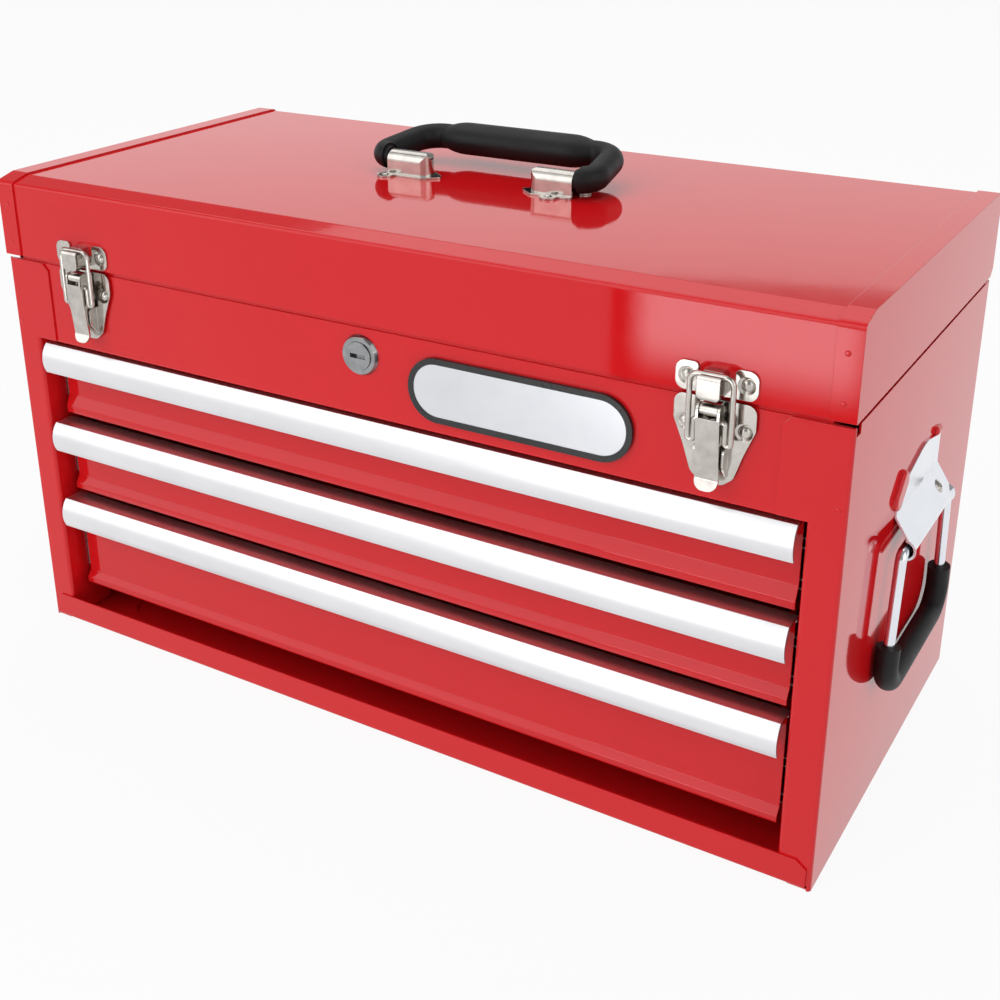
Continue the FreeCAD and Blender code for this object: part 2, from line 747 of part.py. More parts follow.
def hinge_leaf_case():
    low = CASE_HEIGHT - LEAF_HEIGHT
    leaf = block(-HINGE_HALF, HINGE_HALF, BACK - SHEET, BACK, low, CASE_HEIGHT - SHEET)
    parts = [leaf]
    pitch = 2 * HINGE_HALF / KNUCKLES
    reach = HINGE_Y - KNUCKLE_RADIUS / 2
    for i in range(0, KNUCKLES, 2):
        x = -HINGE_HALF + i * pitch + RUN / 2
        corners = [(BACK - SHEET, CASE_HEIGHT - 3 * SHEET), (BACK, CASE_HEIGHT - 3 * SHEET),
                   (reach, HINGE_Z - KNUCKLE_RADIUS), (BACK + SHEET, HINGE_Z),
                   (BACK - SHEET, CASE_HEIGHT - SHEET)]
        parts.append(plate("x", corners, 0, x, x + pitch - RUN))
    whole = join(parts + knuckles(0))
    return whole.cut(rod("x", HINGE_Y, HINGE_Z, -HINGE_HALF - RUN, HINGE_HALF + RUN,
                         HINGE_PIN_RADIUS + SEAT))


def hinge_leaf_lid():
    high = LID_BOTTOM + LEAF_HEIGHT
    leaf = block(-HINGE_HALF, HINGE_HALF, BACK, BACK + SHEET, LID_BOTTOM + SHEET, high)
    parts = [leaf]
    pitch = 2 * HINGE_HALF / KNUCKLES
    for i in range(1, KNUCKLES, 2):
        x = -HINGE_HALF + i * pitch + RUN / 2
        corners = [(BACK, LID_BOTTOM + 2 * SHEET), (BACK, LID_BOTTOM + SHEET / 2),
                   (BACK + SHEET, HINGE_Z + SHEET / 2), (HINGE_Y, HINGE_Z + KNUCKLE_RADIUS),
                   (BACK + SHEET, LID_BOTTOM + 2 * SHEET)]
        parts.append(plate("x", corners, 0, x, x + pitch - RUN))
    whole = join(parts + knuckles(1))
    return whole.cut(rod("x", HINGE_Y, HINGE_Z, -HINGE_HALF - RUN, HINGE_HALF + RUN,
                         HINGE_PIN_RADIUS + SEAT))


def hinge_pin():
    return rod("x", HINGE_Y, HINGE_Z, -HINGE_HALF - SHEET, HINGE_HALF + SHEET, HINGE_PIN_RADIUS)


STAY_REACH = STAY_RADIUS * math.cos(math.radians(STAY_ANGLE))
STAY_RISE = STAY_RADIUS * math.sin(math.radians(STAY_ANGLE))
STAY_Y = HINGE_Y - STAY_REACH
STAY_LOW_Z = HINGE_Z - STAY_RISE
STAY_HIGH_Z = HINGE_Z + STAY_RISE


# Slotted arm, upright inside the tray when the lid is shut
def stay_arm():
    width = STAY_WIDTH / 2
    low = STAY_LOW_Z - width
    gap = STUD_RADIUS + SEAT
    half_turn = math.radians((2 * STAY_ANGLE + LID_OPENING) / 2)
    travel = 2 * STAY_RADIUS * math.sin(half_turn) - 2 * STAY_RISE
    slot_top = STAY_HIGH_Z + travel + gap + SEAT
    high = STAY_HIGH_Z + travel + width
    corners = [(STAY_Y - width, low), (STAY_Y + width, low), (STAY_Y + width, high),
               (STAY_Y - width, high)]
    arm = plate("x", corners, width * ROUND_SHARE, STAY_INNER, STAY_INNER + STAY_THICK)
    slot_low = STAY_HIGH_Z - gap - SEAT
    slot = [(STAY_Y - gap, slot_low), (STAY_Y + gap, slot_low), (STAY_Y + gap, slot_top),
            (STAY_Y - gap, slot_top)]
    window = plate("x", slot, gap * ROUND_SHARE, STAY_INNER - SHEET, STAY_INNER + 2 * SHEET)
    hole = rod("x", STAY_Y, STAY_LOW_Z, STAY_INNER - SHEET, STAY_INNER + 2 * SHEET, STUD_RADIUS + SEAT)
    return arm.cut(window).cut(hole)


# Headed stud: shank, shoulder towards its wall and a flat head inside
def stay_stud(z, wall):
    inner = STAY_INNER - RUN
    shank = rod("x", STAY_Y, z, inner - STUD_HEAD_THICK, wall, STUD_RADIUS)
    head = rod("x", STAY_Y, z, inner - STUD_HEAD_THICK, inner, STUD_HEAD_RADIUS)
    collar = rod("x", STAY_Y, z, STAY_INNER + STAY_THICK + RUN, wall, STUD_COLLAR_RADIUS)
    return join([shank, head, collar])


# Dished recess around a rivet, to be cut from a plate
def dimple(place, direction):
    return Part.makeCone(RIVET_RADIUS, DIMPLE_RADIUS, DIMPLE_DEPTH, place - direction * DIMPLE_DEPTH, direction)


def latch_dimples(z):
    out = V(0, -1, 0)
    return [dimple(V(side * LATCH_RIVET_X, FRONT - LATCH_PLATE, z), out) for side in (-1, 1)]


# Base of a draw latch: shield with a curled barrel and two low side walls
def latch_base():
    y_low = FRONT - LATCH_PLATE
    right = [(LATCH_BASE_HALF, LATCH_BASE_TOP), (LATCH_BASE_HALF, LATCH_BASE_EAR_Z),
             (LATCH_BASE_WAIST_HALF, LATCH_BASE_WAIST_Z), (LATCH_BASE_LOW_HALF, LATCH_BASE_LOW_Z),
             (LATCH_BASE_LOW_HALF / 2, LATCH_BASE_BOTTOM)]
    left = [(-x, z) for x, z in reversed(right)]
    radii = [LATCH_CORNER] * 2 + [2 * LATCH_CORNER] + [LATCH_CORNER] * 2
    base = plate("y", right + left, radii + radii[::-1], y_low, FRONT)
    for recess in latch_dimples(LATCH_RIVET_Z):
        base = base.cut(recess)
    parts = [base]
    wall_out = FRONT - BASE_WALL_OUT
    wall = [(y_low, LATCH_BASE_LOW_Z), (wall_out, BASE_WALL_BEND_Z), (wall_out, BASE_WALL_TOP),
            (y_low, BASE_WALL_TOP)]
    for side in (-1, 1):
        a = side * BASE_WALL_X
        b = side * (BASE_WALL_X + LATCH_PLATE)
        parts.append(plate("x", wall, [0, LATCH_CORNER, LATCH_CORNER / 2, 0], min(a, b), max(a, b)))
    pivot_y = FRONT - PIVOT_OUT
    parts.append(rod("x", pivot_y, PIVOT_Z, -BARREL_HALF, BARREL_HALF, BARREL_RADIUS))
    curl_top = PIVOT_Z + BARREL_RADIUS
    parts.append(block(-BARREL_HALF, BARREL_HALF, pivot_y, y_low, curl_top - LEVER_SHEET, curl_top))
    parts.append(rod("x", pivot_y, PIVOT_Z, -LEVER_HALF, LEVER_HALF, PIVOT_PIN_RADIUS))
    return join(parts)


# Lever: sloping channel with ears on the pin and a curled, rounded tip
def latch_lever():
    pivot_y = FRONT - PIVOT_OUT
    top_y = FRONT - LEVER_FACE_OUT
    neck_y = FRONT - LEVER_NECK_OUT
    path = [(top_y, LEVER_TOP_Z), (neck_y, LEVER_NECK_Z), (FRONT - LEVER_TIP_OUT, LEVER_TIP_Z)]
    skin = bent("x", path, LEVER_SHEET, [0, LEVER_SHEET, 0], -LEVER_HALF, LEVER_HALF)
    mask = plate("y", [(-LEVER_HALF, LEVER_TOP_Z), (-LEVER_HALF, LEVER_TIP_Z), (LEVER_HALF, LEVER_TIP_Z),
                       (LEVER_HALF, LEVER_TOP_Z)],
                 [0, LATCH_CORNER, LATCH_CORNER, 0], FRONT - 2 * LEVER_FACE_OUT, FRONT)
    parts = [skin.common(mask)]
    ear = LEVER_EAR_RADIUS
    cheek = [(top_y, LEVER_TOP_Z), (pivot_y - ear, PIVOT_Z + ear), (pivot_y + ear, PIVOT_Z + ear),
             (pivot_y + ear, PIVOT_Z - 2 * ear), (neck_y + LEVER_SHEET, LEVER_NECK_Z + ear),
             (neck_y, LEVER_NECK_Z)]
    radii = [0, ear * ROUND_SHARE, ear * ROUND_SHARE, ear / 2, 0, 0]
    for side in (-1, 1):
        a = side * LEVER_HALF
        b = side * (LEVER_HALF - LEVER_SHEET)
        parts.append(plate("x", cheek, radii, min(a, b), max(a, b)))
    whole = join(parts)
    reach = LEVER_HALF + LEVER_SHEET
    whole = whole.cut(rod("x", pivot_y, PIVOT_Z - BAIL_DROP, -reach, reach, BAIL_WIRE + SEAT))
    return whole.cut(rod("x", pivot_y, PIVOT_Z, -reach, reach, PIVOT_PIN_RADIUS + SEAT))


# Bail: wire from inside the lever, down, round and up over the hook
def latch_bail():
    y = FRONT - PIVOT_OUT
    pivot = PIVOT_Z - BAIL_DROP
    low = pivot - BAIL_LOOP_DROP
    high = pivot + BAIL_LENGTH
    right = [V(RUN, y, pivot), V(BAIL_INNER, y, pivot), V(BAIL_INNER, y, low), V(BAIL_HALF, y, low),
             V(BAIL_HALF, y, high)]
    left = [V(-point.x, y, point.z) for point in reversed(right)]
    loop = (BAIL_HALF - BAIL_INNER) / 2
    radii = [0, BAIL_WIRE + SEAT, loop, loop, BAIL_CORNER]
    return wire_rod(right + left, radii + radii[::-1], BAIL_WIRE)


# Keeper on the lid: two eared plate with an upturned hook for the bail
def latch_keeper():
    y_low = FRONT - LATCH_PLATE
    right = [(KEEPER_HALF, KEEPER_BOTTOM), (KEEPER_HALF, KEEPER_TOP), (KEEPER_NOTCH_HALF, KEEPER_TOP),
             (KEEPER_NOTCH_HALF, KEEPER_NOTCH_Z)]
    left = [(-x, z) for x, z in reversed(right)]
    radii = [LATCH_CORNER, LATCH_CORNER, LATCH_CORNER / 2, 0]
    base = plate("y", right + left, radii + radii[::-1], y_low, FRONT)
    for recess in latch_dimples((KEEPER_TOP + KEEPER_BOTTOM) / 2):
        base = base.cut(recess)
    front = FRONT - HOOK_OUT
    hook = plate("x", [(front, HOOK_BOTTOM), (FRONT, HOOK_BOTTOM), (FRONT, HOOK_TOP), (front, HOOK_TOP)],
                 [HOOK_ROUND / 2, 0, 0, HOOK_ROUND], -HOOK_HALF, HOOK_HALF)
    mask = plate("y", [(-HOOK_HALF, HOOK_BOTTOM), (HOOK_HALF, HOOK_BOTTOM), (HOOK_HALF, HOOK_TOP),
                       (-HOOK_HALF, HOOK_TOP)], [HOOK_ROUND, HOOK_ROUND, HOOK_ROUND / 2, HOOK_ROUND / 2],
                 front, FRONT)
    bar_z = PIVOT_Z - BAIL_DROP + BAIL_LENGTH
    groove_low = bar_z - BAIL_WIRE - SEAT
    groove_back = FRONT - PIVOT_OUT + BAIL_WIRE + RUN
    reach = HOOK_HALF + SHEET
    groove = plate("x", [(front + HOOK_WALL, groove_low), (groove_back, groove_low),
                         (groove_back, HOOK_TOP + SHEET), (front + HOOK_WALL, HOOK_TOP + SHEET)],
                   [BAIL_WIRE, BAIL_WIRE, 0, 0], -reach, reach)
    ceiling = groove_low - HOOK_WALL
    hollow = block(-HOOK_HALF + HOOK_WALL, HOOK_HALF - HOOK_WALL, front + HOOK_WALL, y_low - HOOK_WALL,
                   HOOK_BOTTOM - SHEET, ceiling)
    return join([base, hook.common(mask).cut(groove).cut(hollow)])


def at_latches(shape):
    return [moved(shape, -LATCH_X, 0, 0), moved(shape, LATCH_X, 0, 0)]


# Lock: bezel, barrel and nut stay still, the plug turns a bent cam
def lock_body():
    face = FRONT + SHEET
    ring = Part.makeCone(BEZEL_RADIUS, BEZEL_RADIUS - BEZEL_RISE / 2, BEZEL_RISE, V(0, face, LOCK_Z), V(0, -1, 0))
    barrel = rod("y", 0, LOCK_Z, face, face + LOCK_DEPTH, LOCK_BARREL_RADIUS)
    bore = rod("y", 0, LOCK_Z, face - 2 * BEZEL_RISE, face + LOCK_DEPTH + SHEET, LOCK_BARREL_RADIUS - SHEET)
    seat = rod("y", 0, LOCK_Z, face - 2 * BEZEL_RISE, face - SHEET, LOCK_FACE_RADIUS + RUN / 3)
    return join([ring, barrel]).cut(bore).cut(seat)


def lock_nut():
    low = FRONT + 2 * SHEET
    flats = []
    for i in range(NUT_SIDES):
        angle = 2 * math.pi * i / NUT_SIDES
        flats.append((LOCK_NUT_RADIUS * math.cos(angle), LOCK_Z + LOCK_NUT_RADIUS * math.sin(angle)))
    body = plate("y", flats, 0, low, low + 2 * SHEET)
    return body.cut(rod("y", 0, LOCK_Z, low - SHEET, low + 3 * SHEET, LOCK_BARREL_RADIUS))


def lock_plug():
    face = FRONT + SHEET
    front = face - LOCK_FACE_RISE
    disc = rod("y", 0, LOCK_Z, front, face - SHEET - RUN / 3, LOCK_FACE_RADIUS)
    core = rod("y", 0, LOCK_Z, face - 2 * SHEET, face + LOCK_DEPTH + 3 * SHEET,
               LOCK_BARREL_RADIUS - SHEET - RUN / 3)
    half = KEYWAY_LENGTH / 2
    slot = block(-half, half, front - SHEET, front + KEYWAY_DEPTH, LOCK_Z - KEYWAY_WIDTH / 2,
                 LOCK_Z + KEYWAY_WIDTH / 2)
    return join([disc, core]).cut(slot)


# Cam: strap from the plug with a bent end, turned aside while unlocked
def lock_cam():
    y = FRONT + SHEET + LOCK_DEPTH + RUN
    half = CAM_WIDTH / 2
    hole = LOCK_BARREL_RADIUS - SHEET - RUN / 3
    strap = [(-half * 2, LOCK_Z - 2 * half), (half * 2, LOCK_Z - 2 * half), (half * 2, LOCK_Z + half),
             (half, LOCK_Z + CAM_RADIUS), (-half, LOCK_Z + CAM_RADIUS), (-half * 2, LOCK_Z + half)]
    arm = plate("y", strap, [half, half, 0, 0, 0, 0], y, y + CAM_SHEET)
    prong = block(-half, half, y, y + CAM_PRONG, LOCK_Z + CAM_RADIUS - CAM_SHEET, LOCK_Z + CAM_RADIUS)
    cam = join([arm, prong]).cut(rod("y", 0, LOCK_Z, y - SHEET, y + 3 * SHEET, hole))
    cam.rotate(V(0, 0, LOCK_Z), V(0, 1, 0), CAM_REST_TURN)
    return cam


# Strike on the lid: strap behind the tray rim, window for the prong
def lid_strike():
    y = FRONT + SHEET + LOCK_DEPTH + RUN + CAM_PRONG / 2
    top = LID_BOTTOM + LEAF_HEIGHT
    prong_z = LOCK_Z + CAM_RADIUS
    jaw_top = prong_z - STRIKE_JAW_DROP
    strap = bent("x", [(FRONT + SHEET, top), (FRONT + SHEET, LID_BOTTOM + 2 * LID_GAP),
                       (y, LID_BOTTOM + LID_GAP + SHEET), (y, jaw_top - STRIKE_JAW)],
                 SHEET, BEND, STRIKE_LEFT, STRIKE_RIGHT)
    window = block(STRIKE_LEFT + STRIKE_WEB, STRIKE_RIGHT + SHEET, y - SHEET, y + 2 * SHEET,
                   jaw_top, prong_z + SHEET)
    return strap.cut(window)


def pill(length, height, x, z, y_low, y_high):
    corners = [(x - length / 2, z - height / 2), (x + length / 2, z - height / 2),
               (x + length / 2, z + height / 2), (x - length / 2, z + height / 2)]
    return plate("y", corners, height / 2 * ROUND_SHARE, y_low, y_high)


def badge_rim():
    y_high = FRONT + SHEET
    outer = pill(BADGE_LENGTH, BADGE_HEIGHT, BADGE_X, BADGE_Z, y_high - BADGE_RISE, y_high)
    inner = pill(BADGE_LENGTH - 2 * BADGE_RIM, BADGE_HEIGHT - 2 * BADGE_RIM, BADGE_X, BADGE_Z,
                 y_high - 2 * BADGE_RISE, y_high - BADGE_RISE / 2)
    return outer.cut(inner)


def badge_plate():
    y_high = FRONT + SHEET - BADGE_RISE / 2
    return pill(BADGE_LENGTH - 2 * BADGE_RIM - 2 * SEAT, BADGE_HEIGHT - 2 * BADGE_RIM - 2 * SEAT,
                BADGE_X, BADGE_Z, y_high - BADGE_RISE / 3, y_high)


# Profile of the bracket: flat plate, ramp outwards, hook round the wire
def bracket_path(top):
    bore = SIDE_WIRE + RUN
    slope = math.radians(BRACKET_SLOPE)
    out = SIDE_AXIS_X + bore
    ramp_low = SIDE_AXIS_Z + bore * math.tan((math.pi / 2 - slope) / 2)
    ramp_top = ramp_low + (out - HALF) * math.tan(slope)
    return [(HALF, top), (HALF, ramp_top), (out, ramp_low), (out, SIDE_AXIS_Z - bore),
            (HALF + BRACKET_LIP_GAP, SIDE_AXIS_Z - bore)]


# Bracket of a side handle: pressed strip held by lugs of the panel
def side_bracket():
    half = BRACKET_HALF
    bore = SIDE_WIRE + RUN
    path = bracket_path(BRACKET_CROWN)
    radii = [0, BRACKET_FOLD, bore * ROUND_SHARE, bore * ROUND_SHARE, 0]
    strip = bent("y", path, BRACKET_SHEET, radii, -half, half)
    low = SIDE_AXIS_Z - 2 * SIDE_GRIP_RADIUS
    mask = plate("x", [(-half, low), (half, low), (half, BRACKET_TOP), (BRACKET_CROWN_Y, BRACKET_CROWN),
                       (BRACKET_SLANT_TOP_Y, BRACKET_TOP), (-half, BRACKET_SLANT_LOW)],
                 [0, 0, SHEET, 3 * SIDE_CORNER, SIDE_CORNER, BRACKET_FOLD], HALF - SHEET, HALF + 2 * SIDE_CORNER)
    strip = strip.common(mask)
    for side in (-1, 1):
        strip = flared(strip, side)
    for pad in side_lugs():
        strip = strip.cut(pad)
    return strip


# Hook at one end of the bracket opened like a funnel
def flared(strip, side):
    direction = V(0, side, 0)
    length = BRACKET_FLARE_LENGTH
    start = V(SIDE_AXIS_X, side * (BRACKET_HALF - length), SIDE_AXIS_Z)
    inner = SIDE_WIRE + RUN
    outer = inner + BRACKET_SHEET
    ring = Part.makeCone(outer, outer + BRACKET_FLARE, length, start, direction)
    hole = Part.makeCone(inner, inner + BRACKET_FLARE, length, start, direction)
    reach = 2 * SIDE_CORNER
    open_side = block(HALF - reach, SIDE_AXIS_X, -reach - BRACKET_HALF, reach + BRACKET_HALF,
                      SIDE_AXIS_Z - reach, SIDE_AXIS_Z + reach)
    return join([strip, ring.cut(open_side)]).cut(hole)


# Side handle: bent wire with its ends meeting inside the grip
def side_wire():
    x = SIDE_AXIS_X
    top = SIDE_AXIS_Z
    leg = SIDE_LEG_TOP
    wide = SIDE_LEG_BOTTOM
    low = SIDE_GRIP_Z
    points = [V(x, RUN, top), V(x, leg, top), V(x, wide, low), V(x, -wide, low),
              V(x, -leg, top), V(x, -RUN, top)]
    radii = [0, SIDE_WIRE_BEND, SIDE_CORNER, SIDE_CORNER, SIDE_WIRE_BEND, 0]
    return wire_rod(points, radii, SIDE_WIRE)


def side_grip():
    x = SIDE_AXIS_X
    wide = SIDE_LEG_BOTTOM
    low = SIDE_GRIP_Z
    slope_share = (SIDE_GRIP_TOP - low) / (SIDE_AXIS_Z - low)
    top_y = wide + (SIDE_LEG_TOP - wide) * slope_share
    points = [V(x, top_y, SIDE_GRIP_TOP), V(x, wide, low), V(x, -wide, low), V(x, -top_y, SIDE_GRIP_TOP)]
    radii = [0, SIDE_CORNER, SIDE_CORNER, 0]
    body = wire_rod(points, radii, SIDE_GRIP_RADIUS)
    return body.cut(wire_rod(points, radii, SIDE_WIRE))


# Bent rod of the top handle, its ends inside the saddles
def handle_pipe(start, radius):
    z = HANDLE_AXIS_Z
    bar_z = z + HANDLE_BAR_RISE
    right = [V(start, 0, z), V(HANDLE_HALF, 0, z), V(HANDLE_BAR_HALF, HANDLE_BACK, bar_z)]
    left = [V(-point.x, point.y, point.z) for point in reversed(right)]
    radii = [0, HANDLE_FOOT_BEND, HANDLE_CORNER]
    return wire_rod(right + left, radii + radii[::-1], radius)


def top_handle_rod():
    start = HANDLE_SADDLE_X - HANDLE_SADDLE_HALF + SADDLE_SHEET + SADDLE_END_ROUND
    return handle_pipe(start, HANDLE_CORE)


# Bar of the grip: turned barrel with arched ends, flattened to its width
def grip_bar():
    wide_share = HANDLE_GRIP_WIDE / HANDLE_GRIP_THICK
    end_radius = HANDLE_LEG_RADIUS / wide_share - SEAT
    drop = HANDLE_GRIP_THICK - end_radius
    arc_radius = (HANDLE_SWELL ** 2 + drop ** 2) / (2 * drop)
    half_swell = HANDLE_SWELL / 2
    middle_drop = arc_radius - math.sqrt(arc_radius ** 2 - half_swell ** 2)
    full = HANDLE_GRIP_HALF - HANDLE_SWELL
    end = V(HANDLE_GRIP_HALF, end_radius, 0)
    middle = V(full + half_swell, HANDLE_GRIP_THICK - middle_drop, 0)
    top = V(full, HANDLE_GRIP_THICK, 0)
    mirrored = [V(-point.x, point.y, 0) for point in (top, middle, end)]
    edges = [Part.makeLine(V(HANDLE_GRIP_HALF, 0, 0), end), Part.Arc(end, middle, top).toShape(),
             Part.makeLine(top, mirrored[0]), Part.Arc(mirrored[0], mirrored[1], mirrored[2]).toShape(),
             Part.makeLine(mirrored[2], V(-HANDLE_GRIP_HALF, 0, 0)),
             Part.makeLine(V(-HANDLE_GRIP_HALF, 0, 0), V(HANDLE_GRIP_HALF, 0, 0))]
    full_turn = math.degrees(2 * math.pi)
    barrel = Part.Face(Part.Wire(edges)).revolve(V(0, 0, 0), V(1, 0, 0), full_turn)
    flatten = FreeCAD.Matrix()
    flatten.scale(V(1, wide_share, 1))
    bar = barrel.transformGeometry(flatten)
    return moved(bar, 0, HANDLE_BACK, HANDLE_AXIS_Z + HANDLE_BAR_RISE)


# Moulded grip: legs of even thickness, feet turned down, bar swelling in the middle
def top_handle_grip():
    start = HANDLE_SADDLE_X + HANDLE_SADDLE_HALF + RUN
    body = join([handle_pipe(start, HANDLE_LEG_RADIUS), grip_bar()])
    for side in (-1, 1):
        ends = sorted((side * (start - RUN), side * (start + HANDLE_FOOT_LENGTH)))
        body = body.cut(tube("x", 0, HANDLE_AXIS_Z, ends[0], ends[1], HANDLE_FOOT_BEND, HANDLE_FOOT_RADIUS))
    return body.cut(top_handle_rod())


# Hood of a saddle: arched tunnel with a rounded closed end towards the middle
def hood(inner_end, outer_end, half, crown):
    low = BOX_HEIGHT - SHEET
    arch = half * ROUND_SHARE
    end_round = half * ROUND_SHARE
    tunnel = plate("x", [(-half, low), (half, low), (half, crown), (-half, crown)], [0, 0, arch, arch],
                   inner_end, outer_end)
    plan = plate("z", [(inner_end, -half), (outer_end, -half), (outer_end, half), (inner_end, half)],
                 [end_round, 0, 0, end_round], low, crown)
    side = plate("y", [(inner_end, low), (outer_end, low), (outer_end, crown), (inner_end, crown)],
                 [0, 0, 0, SADDLE_END_ROUND], -half, half)
    return tunnel.common(plan).common(side)


# Saddle of the top handle: hood on a flange with a nose and two rivet lobes
def handle_saddle():
    low = BOX_HEIGHT - SHEET
    skin = low + SADDLE_SHEET
    crown = HANDLE_AXIS_Z + HANDLE_CORE + RUN + SADDLE_SHEET
    inner_end = HANDLE_SADDLE_X - HANDLE_SADDLE_HALF
    outer_end = HANDLE_SADDLE_X + HANDLE_SADDLE_HALF
    edge = SADDLE_HALF + SADDLE_FLANGE
    corners = [(inner_end - SADDLE_NOSE, 0), (inner_end + SADDLE_FLANGE, -edge), (outer_end, -edge),
               (outer_end, edge), (inner_end + SADDLE_FLANGE, edge)]
    flange = plate("z", corners, [SADDLE_NOSE_ROUND, SADDLE_FLANGE, SADDLE_FLANGE, SADDLE_FLANGE, SADDLE_FLANGE],
                   low, skin)
    lobes = [rod("z", x, y, low, skin, SADDLE_LOBE) for x, y in saddle_rivets()]
    outer = hood(inner_end, outer_end, SADDLE_HALF, crown)
    inner = hood(inner_end + SADDLE_SHEET, outer_end + SHEET, SADDLE_HALF - SADDLE_SHEET, crown - SADDLE_SHEET)
    mouth = block(inner_end + 2 * SADDLE_SHEET, outer_end + 2 * SADDLE_LOBE, SADDLE_SHEET - SADDLE_HALF,
                  SADDLE_HALF - SADDLE_SHEET, low - SHEET, skin + SHEET)
    return join([flange, outer] + lobes).cut(inner).cut(mouth)


def saddle_rivets():
    return [(HANDLE_SADDLE_X + SADDLE_FRONT_RIVET_X, -SADDLE_RIVET_Y),
            (HANDLE_SADDLE_X + SADDLE_BACK_RIVET_X, SADDLE_RIVET_Y)]


def case_rivets():
    out = V(0, -1, 0)
    places = []
    for x in (-LATCH_X, LATCH_X):
        for side in (-1, 1):
            places.append(V(x + side * LATCH_RIVET_X, FRONT - LATCH_PLATE + DIMPLE_DEPTH, LATCH_RIVET_Z))
    shapes = [rivet(place, out, RIVET_RADIUS, RIVET_RISE) for place in places]
    head = bracket_rivet()
    return Part.makeCompound(shapes + [head, mirror_x(head)])


# Hollow rivet on the ramp of the side bracket
def bracket_rivet():
    slope = math.radians(BRACKET_SLOPE)
    out = V(math.sin(slope), 0, math.cos(slope))
    ramp_top = bracket_path(BRACKET_CROWN)[1][1]
    drop = BRACKET_RIVET_DROP
    inner_face = V(HALF + drop / math.tan(slope), BRACKET_RIVET_Y, ramp_top - drop)
    place = inner_face + out * BRACKET_SHEET
    head = rivet(place, out, BRACKET_RIVET_RADIUS, BRACKET_RIVET_RISE)
    hole = Part.makeCylinder(BRACKET_RIVET_HOLE, BRACKET_RIVET_RISE, place + out * (BRACKET_RIVET_RISE / 2), out)
    return head.cut(hole)


def lid_rivets():
    shapes = []
    keeper_z = (KEEPER_TOP + KEEPER_BOTTOM) / 2
    for x in (-LATCH_X, LATCH_X):
        for side in (-1, 1):
            place = V(x + side * LATCH_RIVET_X, FRONT - LATCH_PLATE + DIMPLE_DEPTH, keeper_z)
            shapes.append(rivet(place, V(0, -1, 0), RIVET_RADIUS, RIVET_RISE))
    top = BOX_HEIGHT - SHEET + SADDLE_SHEET
    for x, y in saddle_rivets():
        for side in (-1, 1):
            shapes.append(rivet(V(side * x, side * y, top), V(0, 0, 1), SADDLE_RIVET_RADIUS, SADDLE_RIVET_RISE))
    return Part.makeCompound(shapes)


side = side_panel()
save("side_panel_right", side)
save("side_panel_left", mirror_x(side))
save("bottom_panel", bottom_panel())
save("back_panel", back_panel())
save("front_fascia", front_fascia())
save("top_tray", top_tray())
save("rear_posts", both_sides(rear_post()))
for number, name in enumerate(DRAWER_NAMES):
    height = SLIDE_LEVELS[number]
    save("drawer_box_" + name, drawer_box(number))
    save("drawer_front_" + name, drawer_front(number))
    save("drawer_pull_" + name, drawer_pull(number))
    save("slide_outer_" + name, both_sides(slide_outer(height)))
    save("slide_inner_" + name, both_sides(slide_inner(height)))
    save("slide_cage_" + name, both_sides(slide_cage(height)))
save("lid_shell", lid_shell())
cap = lid_cap()
save("lid_cap_right", cap)
save("lid_cap_left", mirror_x(cap))
save("hinge_leaf_case", hinge_leaf_case())
save("hinge_leaf_lid", hinge_leaf_lid())
save("hinge_pin", hinge_pin())
save("stay_arms", both_sides(stay_arm()))
save("stay_rivets", both_sides(stay_stud(STAY_LOW_Z, TRAY_HALF - SHEET)))
save("stay_studs", both_sides(stay_stud(STAY_HIGH_Z, CAP_OUTER - SHEET)))
for shape, name in ((latch_base(), "latch_base"), (latch_lever(), "latch_lever"),
                    (latch_bail(), "latch_bail"), (latch_keeper(), "latch_keeper")):
    left, right = at_latches(shape)
    save(name + "_left", left)
    save(name + "_right", right)
save("lock_body", lock_body())
save("lock_nut", lock_nut())
save("lock_plug", lock_plug())
save("lock_cam", lock_cam())
save("lid_strike", lid_strike())
save("badge_rim", badge_rim())
save("badge_plate", badge_plate())
for shape, name in ((side_bracket(), "side_bracket"), (side_wire(), "side_handle_wire"),
                    (side_grip(), "side_handle_grip")):
    save(name + "_right", shape)
    save(name + "_left", mirror_x(shape))
saddle = handle_saddle()
other_saddle = saddle.copy()
other_saddle.rotate(V(0, 0, 0), V(0, 0, 1), math.degrees(math.pi))
save("handle_saddles", Part.makeCompound([saddle, other_saddle]))
save("top_handle_rod", top_handle_rod())
save("top_handle_grip", top_handle_grip())
save("case_rivets", case_rivets())
save("lid_rivets", lid_rivets())
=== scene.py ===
"""Portable tool box with a lid and three drawers: finishes, slide balls, studio and camera."""

import math

import bmesh
import bpy
from mathutils import Matrix, Vector

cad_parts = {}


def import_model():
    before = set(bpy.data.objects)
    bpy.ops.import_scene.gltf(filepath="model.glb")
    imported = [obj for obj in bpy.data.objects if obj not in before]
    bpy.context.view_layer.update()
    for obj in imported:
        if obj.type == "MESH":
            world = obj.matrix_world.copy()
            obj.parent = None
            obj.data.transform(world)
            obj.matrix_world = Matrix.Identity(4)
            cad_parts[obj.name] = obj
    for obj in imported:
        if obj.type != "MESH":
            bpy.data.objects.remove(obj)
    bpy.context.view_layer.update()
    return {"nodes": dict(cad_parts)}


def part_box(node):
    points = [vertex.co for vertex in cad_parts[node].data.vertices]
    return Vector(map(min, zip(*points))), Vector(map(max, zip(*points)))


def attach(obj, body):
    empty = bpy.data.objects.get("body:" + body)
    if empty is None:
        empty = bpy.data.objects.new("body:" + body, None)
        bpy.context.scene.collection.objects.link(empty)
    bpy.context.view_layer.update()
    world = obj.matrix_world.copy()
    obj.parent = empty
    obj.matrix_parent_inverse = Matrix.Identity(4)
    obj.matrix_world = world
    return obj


MM = 0.001

